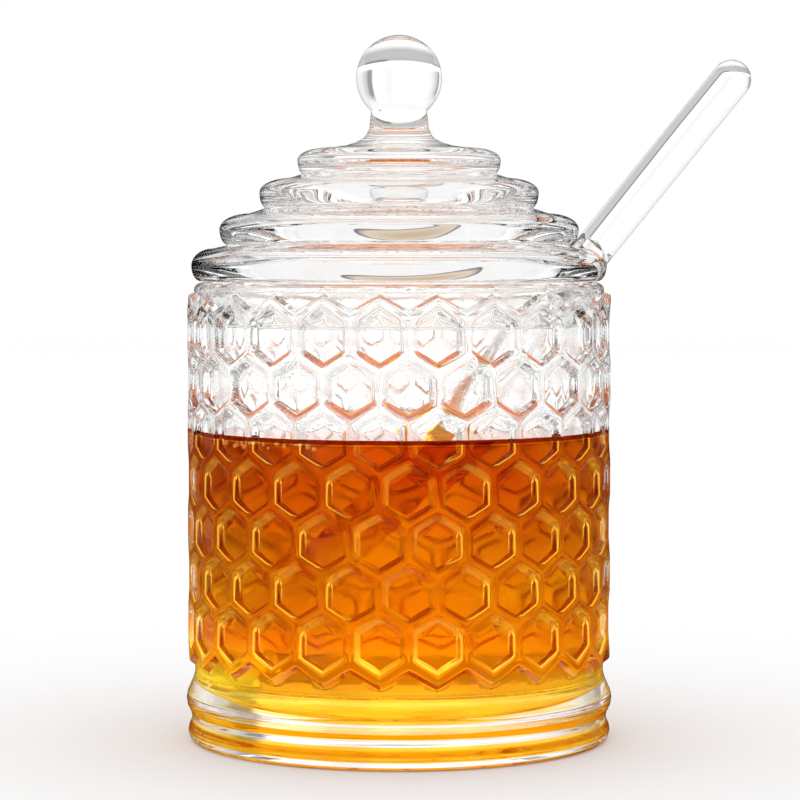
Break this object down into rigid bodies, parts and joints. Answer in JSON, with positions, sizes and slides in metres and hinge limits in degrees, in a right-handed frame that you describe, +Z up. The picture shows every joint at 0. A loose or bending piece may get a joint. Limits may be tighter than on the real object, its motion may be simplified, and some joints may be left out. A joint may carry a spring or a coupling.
{
  "type": "honey pot with dipper",
  "caption": "Clear glass honeycomb jar part-filled with honey, with a stepped beehive lid, a ball knob and a glass dipper leaning out through a notch.",
  "frame": {"origin": "centre of the jar's flat base, on the surface it stands on", "axes": "+Z up along the jar's axis; the dipper leans towards +X in the XZ plane; -Y is the front"},
  "size_m": [0.1173, 0.0886, 0.1462],
  "materials": {
    "clear_glass": "polished pressed glass, colourless",
    "honey": "clear amber honey with a wet gloss"
  },
  "bodies": {
    "root": {"jar": "clear_glass", "honey": "honey", "lid": "clear_glass", "dipper": "clear_glass"}
  },
  "joints": []
}
